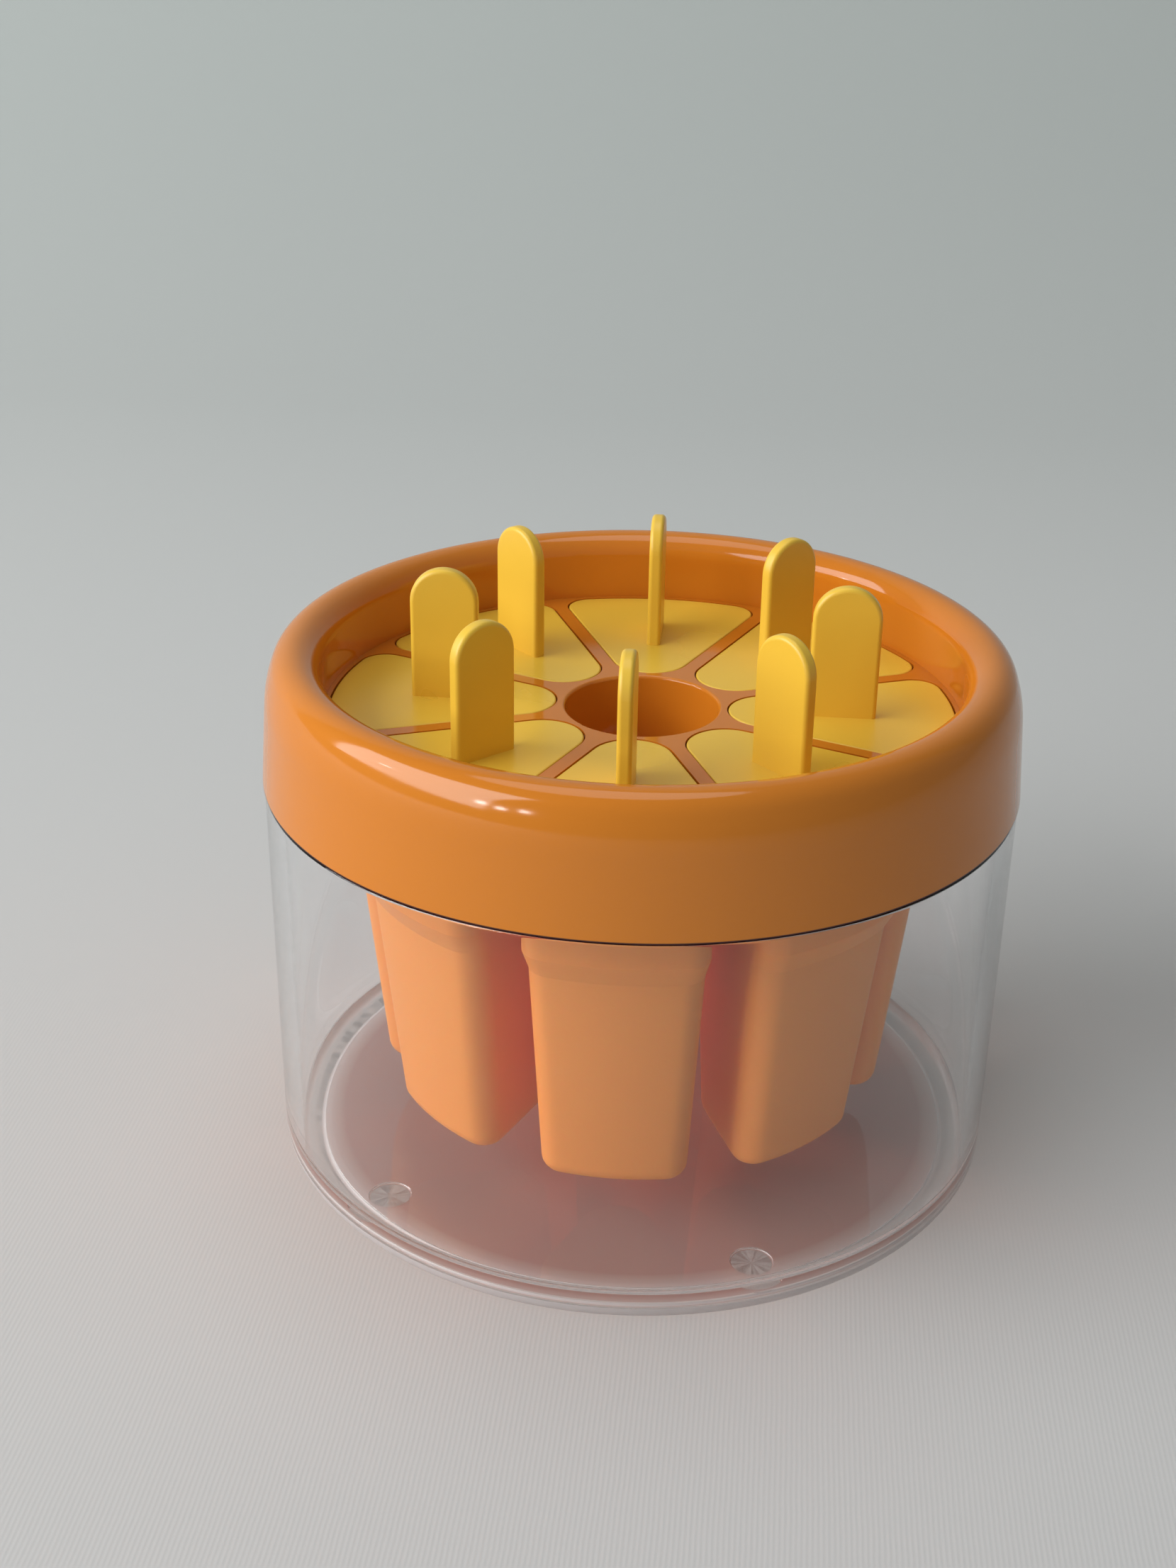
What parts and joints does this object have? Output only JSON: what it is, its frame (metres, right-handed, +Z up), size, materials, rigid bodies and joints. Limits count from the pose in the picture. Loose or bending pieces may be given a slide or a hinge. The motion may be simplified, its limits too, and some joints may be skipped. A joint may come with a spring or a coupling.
{
  "type": "ice pop mold",
  "caption": "Round ice pop mold: a clear jar, a rolled ring with tapered wedge wells round a hub cup, and wedge lids with upright sticks.",
  "frame": {"origin": "centre of the jar's base, on the surface that it stands on", "axes": "+Z up along the jar's axis; -Y towards the front lid; +X to the right"},
  "size_m": [0.16, 0.16, 0.1268],
  "materials": {
    "clear_jar": "clear moulded plastic, polished",
    "orange_mould": "glossy orange moulded plastic, satin on the wells",
    "yellow_lid": "semi-gloss yellow moulded plastic"
  },
  "bodies": {
    "root": {"storage_jar": "clear_jar", "mould_rim": "orange_mould", "mould_tray": "orange_mould", "ice_well_1": "orange_mould", "ice_well_2": "orange_mould", "ice_well_3": "orange_mould", "ice_well_4": "orange_mould", "ice_well_5": "orange_mould", "ice_well_6": "orange_mould", "ice_well_7": "orange_mould", "ice_well_8": "orange_mould", "stick_lid_1": "yellow_lid", "stick_lid_2": "yellow_lid", "stick_lid_3": "yellow_lid", "stick_lid_4": "yellow_lid", "stick_lid_5": "yellow_lid", "stick_lid_6": "yellow_lid", "stick_lid_7": "yellow_lid", "stick_lid_8": "yellow_lid"}
  },
  "joints": []
}
